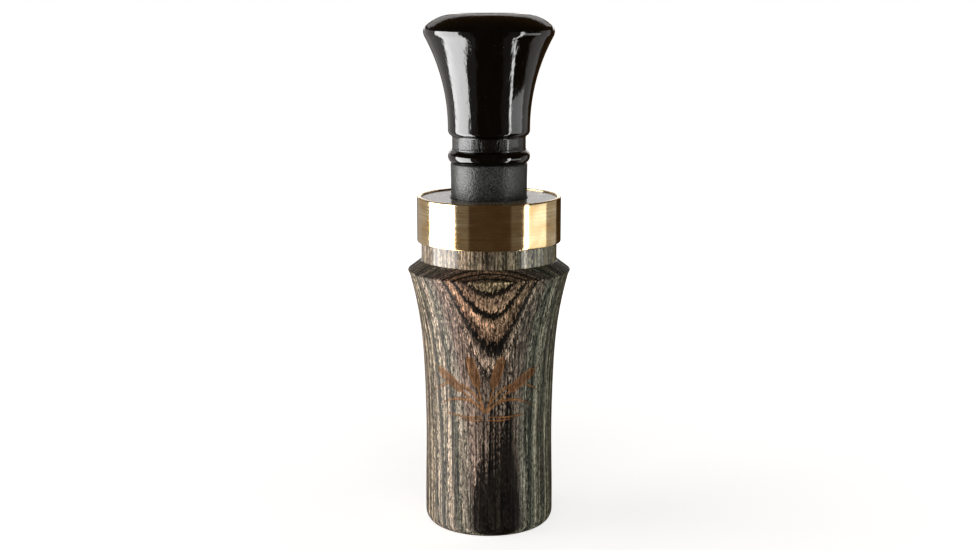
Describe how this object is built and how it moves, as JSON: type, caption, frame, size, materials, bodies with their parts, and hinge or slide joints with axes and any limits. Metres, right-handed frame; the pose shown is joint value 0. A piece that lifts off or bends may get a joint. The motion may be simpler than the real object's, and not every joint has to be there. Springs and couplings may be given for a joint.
{
  "type": "duck call",
  "caption": "Hand-held reed duck call: turned laminated-wood barrel with a brass band, and a push-in black stopper with a flared bell, tone board, paired reeds and cork wedge.",
  "frame": {"origin": "centre of the barrel's mouthpiece end, which the call stands on", "axes": "+Z along the call from the mouthpiece to the bell, -Y towards the engraved front and the reeds"},
  "size_m": [0.038, 0.038, 0.1203],
  "materials": {
    "laminated_wood": "hand-rubbed satin gloss, dyed layers",
    "brass": "lathe-brushed",
    "black_lacquer": "high gloss",
    "black_moulded": "fine moulded texture",
    "board_moulded": "moulded, satin",
    "reed_film": "frosted polyester film",
    "cork": "cut cork",
    "ring_rubber": "satin"
  },
  "bodies": {
    "barrel": {"barrel": "laminated_wood", "band": "brass"},
    "seal_rings": {"seal_ring_upper": "ring_rubber", "seal_ring_lower": "ring_rubber"},
    "stopper": {"bell": "black_lacquer", "neck_sleeve": "black_moulded", "tone_board": "board_moulded"},
    "wedge": {"wedge": "cork"},
    "lower_reed": {"lower_reed": "reed_film"},
    "upper_reed": {"upper_reed": "reed_film"}
  },
  "joints": [
    {"name": "stopper_slide", "type": "slide", "parent": "barrel", "child": "seal_rings", "axis": [0, 0, 1], "range_m": [-0.0072, 0.06]},
    {"name": "stopper_turn", "type": "hinge", "parent": "seal_rings", "child": "stopper", "pos_m": [0, 0, 0.0695], "axis": [0, 0, 1], "continuous": true},
    {"name": "wedge_slide", "type": "slide", "parent": "stopper", "child": "wedge", "axis": [0, 0, -1], "range_m": [0, 0.018]},
    {"name": "lower_reed_flex", "type": "hinge", "parent": "stopper", "child": "lower_reed", "pos_m": [0, -0.00017, 0.04705], "axis": [1, 0, 0], "range_deg": [-2, 2.7], "stiffness_Nm_per_rad": 0.0185, "deforming": ["lower_reed"]},
    {"name": "upper_reed_flex", "type": "hinge", "parent": "stopper", "child": "upper_reed", "pos_m": [0, -0.00061, 0.04705], "axis": [1, 0, 0], "range_deg": [-2, 2.7], "stiffness_Nm_per_rad": 0.0185, "deforming": ["upper_reed"]}
  ],
  "couplings": [
    {"joint": "upper_reed_flex", "follows": "lower_reed_flex", "ratio": 1}
  ]
}
